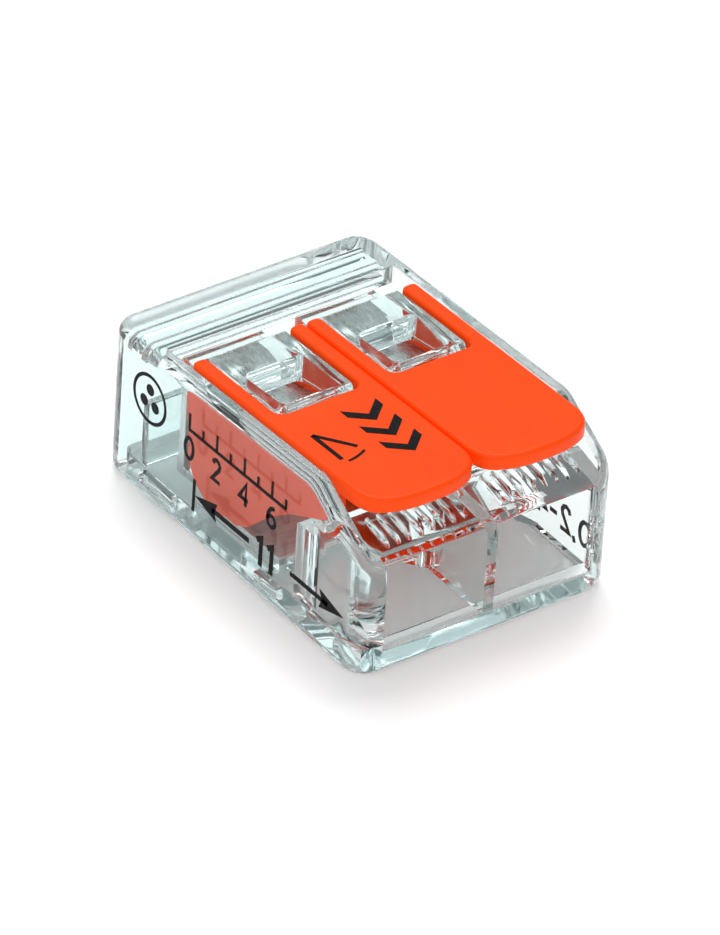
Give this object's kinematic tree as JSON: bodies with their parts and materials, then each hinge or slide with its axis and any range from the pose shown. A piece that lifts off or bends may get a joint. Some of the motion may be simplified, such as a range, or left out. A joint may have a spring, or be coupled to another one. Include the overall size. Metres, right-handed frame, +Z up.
{
  "type": "lever wire connector",
  "caption": "Compact clear splicing connector: side-by-side wire entries, each with a fold-up orange lever that opens a spring clamp on a common busbar.",
  "frame": {"origin": "centre of the rectangle under the part, on the surface that it stands on", "axes": "+Y from the wire entries to the rear, +Z up towards the levers, +X to the right of the levers with the entries in front"},
  "size_m": [0.0132, 0.0186, 0.0082],
  "materials": {
    "clear_polycarbonate": "clear moulded polycarbonate, polished",
    "orange_plastic": "bright orange moulded polyamide, satin",
    "tinned_copper": "stamped copper strip, dull tin plating",
    "spring_steel": "bright stainless spring strip"
  },
  "bodies": {
    "housing": {"housing_shell": "clear_polycarbonate", "housing_base": "clear_polycarbonate", "busbar": "tinned_copper", "clamp_spring_left": "spring_steel", "clamp_spring_right": "spring_steel"},
    "lever_left": {"lever_left": "orange_plastic"},
    "lever_right": {"lever_right": "orange_plastic"},
    "clamp_leg_left": {"clamp_leg_left": "spring_steel"},
    "clamp_leg_right": {"clamp_leg_right": "spring_steel"}
  },
  "joints": [
    {"name": "lever_left_hinge", "type": "hinge", "parent": "housing", "child": "lever_left", "pos_m": [-0.00287, 0.00185, 0.00375], "axis": [-1, 0, 0], "range_deg": [0, 85]},
    {"name": "lever_right_hinge", "type": "hinge", "parent": "housing", "child": "lever_right", "pos_m": [0.00287, 0.00185, 0.00375], "axis": [-1, 0, 0], "range_deg": [0, 85]},
    {"name": "clamp_left_hinge", "type": "hinge", "parent": "housing", "child": "clamp_leg_left", "pos_m": [-0.00287, 0.00027, 0.00569], "axis": [1, 0, 0], "range_deg": [0, 36]},
    {"name": "clamp_right_hinge", "type": "hinge", "parent": "housing", "child": "clamp_leg_right", "pos_m": [0.00287, 0.00027, 0.00569], "axis": [1, 0, 0], "range_deg": [0, 36]}
  ],
  "couplings": [
    {"joint": "clamp_left_hinge", "follows": "lever_left_hinge", "ratio": 0.42},
    {"joint": "clamp_right_hinge", "follows": "lever_right_hinge", "ratio": 0.42}
  ]
}
